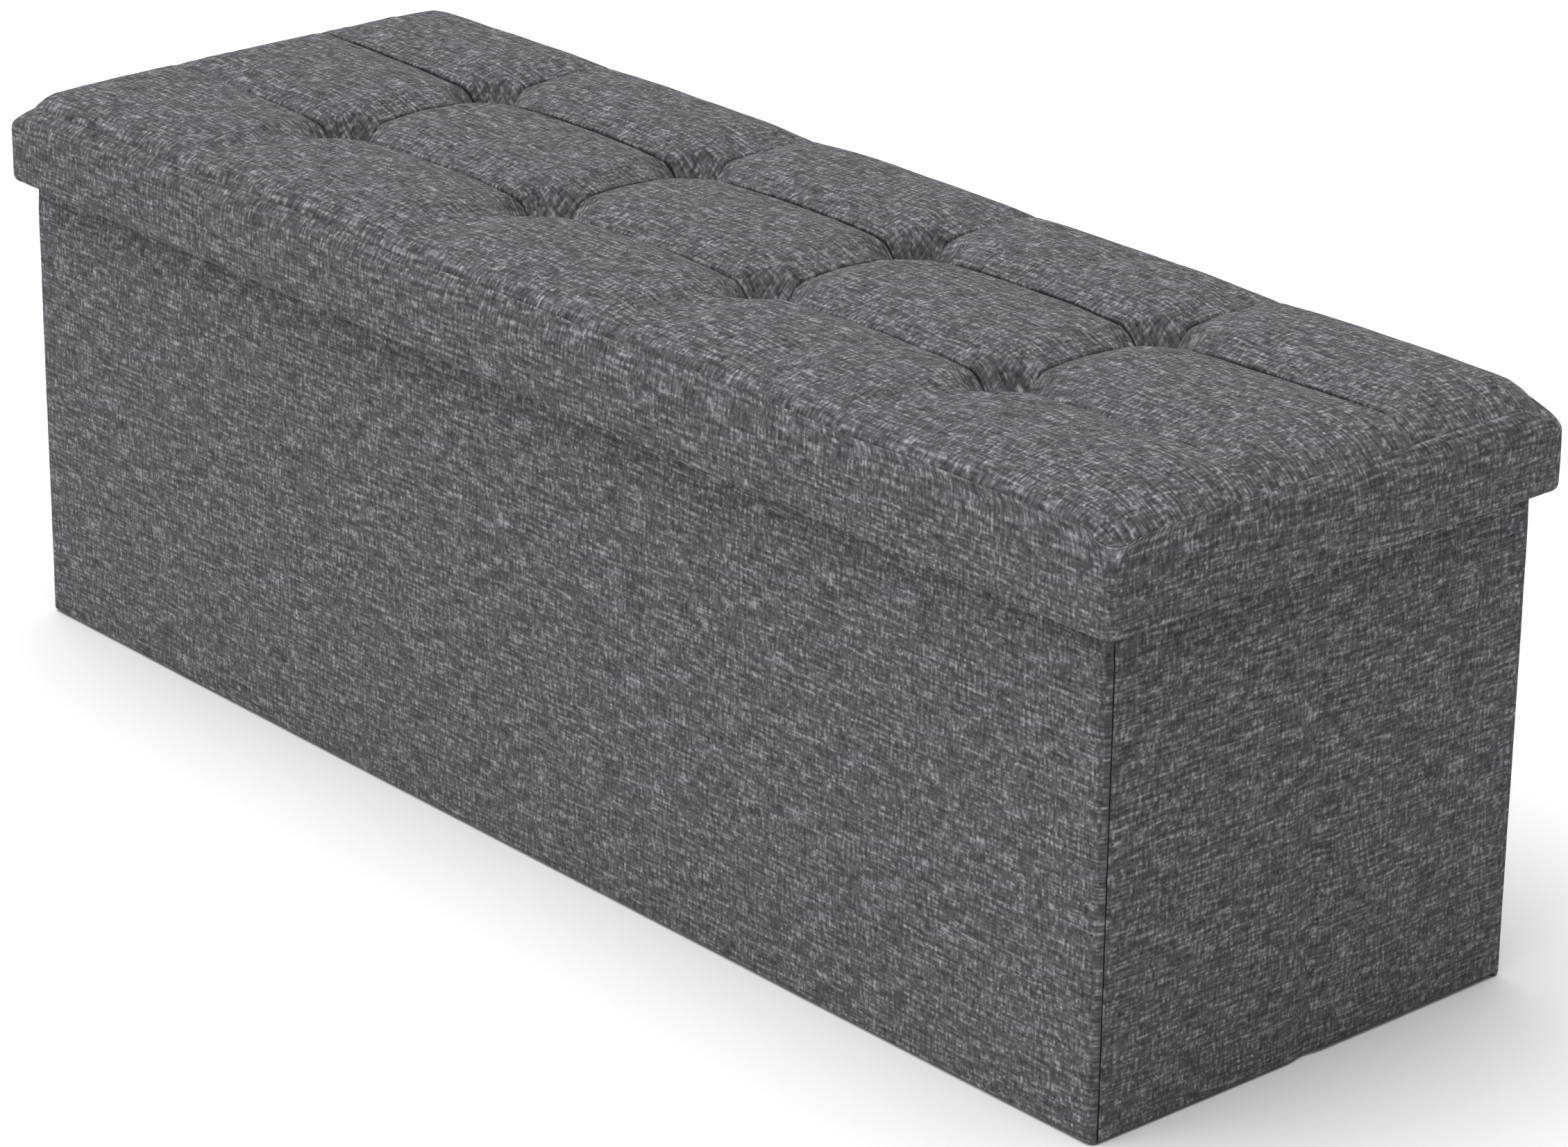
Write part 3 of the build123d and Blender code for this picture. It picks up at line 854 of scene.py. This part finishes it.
def end_wall(side, seed):
    """One cloth over both halves of an end, pinched in at the middle fold and tied to neither half.
    """
    name = "right" if side > 0 else "left"
    half = FOLD_STEPS + [v for v in edge_lines(0, END_HALF, 9 * MM) if v > 8 * MM]
    half += [END_HALF + TUCK, END_HALF + 2 * TUCK]
    s = np.array([-v for v in reversed(half)] + half)
    z = edge_lines(0, WALL_TOP, 9 * MM, radius=HEAD_ROUND)
    gs, gz = np.meshgrid(s, z, indexing="ij")
    to_edge, in_z = END_HALF - np.abs(gs), np.minimum(gz, WALL_TOP - gz)
    in_s, tuck = np.maximum(to_edge, 0), np.maximum(-to_edge, 0) / TUCK
    drop = np.hypot(rounded(in_s, 1.1 * MM), edge_drop(gz))
    swell = padded_face(gs, gz, END_HALF, END_BULGE, seed)
    swell = swell * smoothstep(0, 14 * MM, np.abs(gs)) - 0.25 * MM * near(gs, 1.5 * MM)
    pucker = puckers(gs, gz, END_HALF, seed) + puckers(gs, gz, -END_HALF, seed + 2)
    outer = THICKNESS + 0.5 * MM + swell + pucker * (in_s > 0) - drop
    under = THICKNESS - 0.45 * MM * tuck + 1.1 * MM * loose(gz) - edge_drop(gz)
    outer = np.where(tuck > 0, under, outer)
    back = np.hypot(rounded(in_s, 1.2 * MM), rounded(in_z, BACK_ROUND))
    inner = np.minimum(BACK_FACE + back + 1.6 * MM * tuck, outer - LEAST_CLOTH)
    inner = np.where(np.abs(gs) < 0.3 * MM, THICKNESS - 0.8 * MM, inner)
    bulge = LIP * smoothstep(END_HALF - 16 * MM, END_HALF, np.abs(gs))
    bulge = np.where(tuck > 0, LIP - (LIP - 1.2 * MM) * tuck / 2 - TUCK * tuck, bulge) * np.sign(gs)
    limit = END_HALF + 1.2 * MM
    rear = gs if side > 0 else -gs
    lift = REAR_LIFT * smoothstep(-4 * MM, 6 * MM, rear) * (1 - smoothstep(0, 60 * MM, gz))
    flat_place = turned((side * INNER_X, 0), (0, side), (side, 0))

    def place(along, out, height):
        if out is outer:
            return flat_place(along + bulge, out, height + lift)
        return flat_place(np.clip(along, -limit, limit), out, height + lift)

    piece = wall_panel(s, z, outer, inner, place).piece(f"{name}_end_upholstery")
    dress(piece, None, LINEN, "linen_look_cover",
          f"{name}_rear_half_cover", f"{name}_front_half_cover")
    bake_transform(piece)


# ============================== linings ========================================================
def lining_sheet(name, body, node, s_half, low, high, place, seed, ripple):
    """A thin cloth slab on an inner face: out is measured from that face into the wall."""
    s = edge_lines(-s_half, s_half, 12 * MM, radius=0.6 * MM)
    z = edge_lines(low, high, 12 * MM, radius=0.6 * MM)
    gs, gz = np.meshgrid(s, z, indexing="ij")
    edge = np.minimum(s_half - np.abs(gs), np.minimum(gz - low, high - gz))
    flat = np.stack([gs, 0 * gs, gz], -1)
    waves = ripple * (0.6 + 0.8 * soft_noise(flat, 90 * MM, seed)) * smoothstep(0, 30 * MM, edge)
    face = -0.05 * MM - waves + rounded(edge, 0.35 * MM)
    back = np.full_like(face, LINING_BACK)
    piece = wall_panel(s, z, back, face, place).piece(name)
    dress(piece, body, LINING, "inner_lining", node)


def wall_linings():
    """The inner cloths of the two long walls and of the ends' four halves."""
    low, high = LINING_FOOT, WALL_TOP - LINING_HEAD
    for seed, (name, side) in enumerate((("front_wall", -1), ("back_wall", 1))):
        place = turned((0, side * INNER_Y), (-side, 0), (0, side))
        lining_sheet(f"{name}_inner_cloth", name, f"{name}_lining", LONG_HALF - LINING_END,
                     low, high, place, 40 + seed, LONG_WAVES)
    for seed, (name, side, half) in enumerate((
            ("right_rear_half", 1, 1), ("right_front_half", 1, -1),
            ("left_rear_half", -1, 1), ("left_front_half", -1, -1))):
        middle = half * END_HALF / 2
        place = turned((side * INNER_X, middle), (0, side), (side, 0))
        lining_sheet(f"{name}_inner_cloth", name, f"{name}_lining",
                     END_HALF / 2 - LINING_INSET, low, high, place, 50 + seed, END_WAVES)


def flat_sheet(name, body, node, low, high, seed, thick, hollow, flat, held, rests_on, facing=1):
    """A level thin cloth between two corners, its outer face up (facing 1) or down (-1)."""
    xs = edge_lines(low.x, high.x, 12 * MM, radius=1 * MM)
    ys = edge_lines(low.y, high.y, 12 * MM, radius=1 * MM)
    gx, gy = np.meshgrid(xs, ys, indexing="ij")
    edge = np.minimum(np.minimum(gx - low.x, high.x - gx), np.minimum(gy - low.y, high.y - gy))
    points = np.stack([gx, gy, 0 * gx], -1)
    waves = hollow * (0.5 + soft_noise(points, 110 * MM, seed)) * smoothstep(0, 40 * MM, edge)
    base = low.z if facing > 0 else high.z
    outer = base + facing * (thick + waves - rounded(edge, 0.8 * thick))
    inner = np.full_like(outer, base)

    def place(s, n, z):
        return np.stack([s, z, n], -1)

    surface = wall_panel(xs, ys, outer, inner, place)
    if facing > 0:
        surface.turn_over()
    piece = surface.piece(name)
    dress(piece, body, LINING, "inner_lining", node)


def level_linings():
    """The bottom's cloth and the lid's underside."""
    low, high = (Vector(c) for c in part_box("bottom_lining"))
    low.z += RESTING_GAP
    flat_sheet("bottom_cloth", "bottom", "bottom_lining", low, high, 60, *BOTTOM_CLOTH,
               (high.y - low.y, high.x - low.x), "laid", ["bottom_board"])
    low, high = (Vector(c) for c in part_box("lid_underside_lining"))
    flat_sheet("lid_underside_cloth", "lid", "lid_underside_lining", low + UNDERSIDE_INSET,
               high - UNDERSIDE_INSET, 61, *UNDERSIDE_CLOTH, (high.y - low.y, high.x - low.x),
               "stretched", ["lid_board"], facing=-1)


def pull_tab():
    """A flat thin ribbon on the bottom, in the place of the CAD pull tab."""
    low, high = (Vector(c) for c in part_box("bottom_pull_tab"))
    half, length = (high.x - low.x) / 2, high.y - low.y
    across = np.linspace(-half, half, 9)
    t = np.linspace(0, 1, 41)
    gx, gt = np.meshgrid(across, t, indexing="ij")
    wave = TAB_WAVE * np.sin(9 * gt + 40 * gx / half)
    y = low.y + gt * length
    lower = low.z + RESTING_GAP + wave * smoothstep(0, 0.3, gt) * (1 - smoothstep(0.7, 1, gt))
    edge = rounded(half - np.abs(gx), 0.6 * MM) * 0.6

    def place(s, n, z):
        return np.stack([s, z, n], -1)

    upper = lower + TAB_THICKNESS - edge
    surface = wall_panel(across, y[0], upper, lower + edge * 0.3, place)
    surface.turn_over()
    piece = surface.piece("pull_tab_ribbon")
    dress(piece, "bottom", RIBBON, "ribbon", "bottom_pull_tab")


def finish_cad_nodes():
    """Gives each CAD node the material of the first word below that its name holds."""
    finishes = {"board": FIBREBOARD, "rim": FIBREBOARD, "lining": LINING, "pull_tab": RIBBON,
                "twines": TWINE, "washers": PLASTIC, "": LINEN}
    for node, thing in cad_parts.items():
        word = next(word for word in finishes if word in node)
        thing.data.materials.clear()
        thing.data.materials.append(finishes[word])


seat_cushion()
side_band()
long_wall(-1, 10)
long_wall(1, 20)
end_wall(1, 30)
end_wall(-1, 35)
wall_linings()
level_linings()
pull_tab()
finish_cad_nodes()


# ============================== stage, light, camera ===========================================
FLOOR_HALF = 12.0
FLOOR_Z = -0.5 * MM
SKY_LOW, SKY_HIGH = 0.065, 0.885      # the sky is brightest at the front left
SKY_BRIGHT = (-0.75, -0.66, 0.0)
KEY_ELEVATION = 82.0
KEY_AZIMUTH = 40.0           # towards -X from straight ahead of the front
KEY_STRENGTH = 2.5
KEY_SOFTNESS = 60.0


def stage():
    """A wide pale floor and a plain sky that is brighter to the front left."""
    signs = ((-1, -1), (1, -1), (1, 1), (-1, 1))
    corners = [(x * FLOOR_HALF, y * FLOOR_HALF, FLOOR_Z) for x, y in signs]
    floor = mesh_piece("floor", corners, [(0, 1, 2, 3)])
    n = Nodes("pale floor", roughness=0.9)
    here = n.add("ShaderNodeTexCoord").outputs["Object"]
    tones = [(0.3, (0.9, 0.9, 0.9)), (0.7, (0.93, 0.93, 0.93))]
    n.link(n.ramp(n.noise(here, 2.0, 2.0), tones), "Base Color")
    floor.data.materials.append(n.material)
    world = bpy.data.worlds.new("studio")
    bpy.context.scene.world = world
    world.use_nodes = True
    tree = world.node_tree
    towards = tree.nodes.new("ShaderNodeTexCoord")
    bright = tree.nodes.new("ShaderNodeVectorMath")
    bright.operation = "DOT_PRODUCT"
    bright.inputs[1].default_value = SKY_BRIGHT
    strength = tree.nodes.new("ShaderNodeMapRange")
    strength.inputs["From Min"].default_value = -1.0
    strength.inputs["To Min"].default_value = SKY_LOW
    strength.inputs["To Max"].default_value = SKY_HIGH
    background = tree.nodes["Background"]
    background.inputs["Color"].default_value = (1.0, 1.0, 1.0, 1)
    tree.links.new(towards.outputs["Generated"], bright.inputs[0])
    tree.links.new(bright.outputs["Value"], strength.inputs["Value"])
    tree.links.new(strength.outputs["Result"], background.inputs["Strength"])


def soft_key():
    """One very large, soft light from the upper front left."""
    light = bpy.data.lights.new("key", "SUN")
    light.energy = KEY_STRENGTH
    light.angle = math.radians(KEY_SOFTNESS)
    thing = bpy.data.objects.new("key", light)
    a, e = math.radians(KEY_AZIMUTH), math.radians(KEY_ELEVATION)
    towards = Vector((-math.sin(a) * math.cos(e), -math.cos(a) * math.cos(e), math.sin(e)))
    thing.rotation_euler = (-towards).to_track_quat("-Z", "Y").to_euler()
    bpy.context.scene.collection.objects.link(thing)


def camera():
    """The camera at the named place and angles, rolled a little about its own axis."""
    data = bpy.data.cameras.new("camera")
    data.sensor_width = SENSOR_WIDTH
    data.lens = CAMERA_LENS
    data.clip_start, data.clip_end = 0.1, 50
    thing = bpy.data.objects.new("camera", data)
    a, e = math.radians(CAMERA_AZIMUTH), math.radians(CAMERA_ELEVATION)
    back = Vector((math.sin(a) * math.cos(e), -math.cos(a) * math.cos(e), math.sin(e)))
    right = (-back).cross(Vector((0, 0, 1))).normalized()
    up = right.cross(-back)
    turn = math.radians(CAMERA_ROLL)
    rolled_right = right * math.cos(turn) + up * math.sin(turn)
    rolled_up = up * math.cos(turn) - right * math.sin(turn)
    thing.matrix_world = Matrix((
        (rolled_right.x, rolled_up.x, back.x, CAMERA_PLACE[0]),
        (rolled_right.y, rolled_up.y, back.y, CAMERA_PLACE[1]),
        (rolled_right.z, rolled_up.z, back.z, CAMERA_PLACE[2]),
        (0, 0, 0, 1),
    ))
    bpy.context.scene.collection.objects.link(thing)
    bpy.context.scene.camera = thing


stage()
soft_key()
camera()
bpy.context.scene.view_settings.view_transform = "Standard"
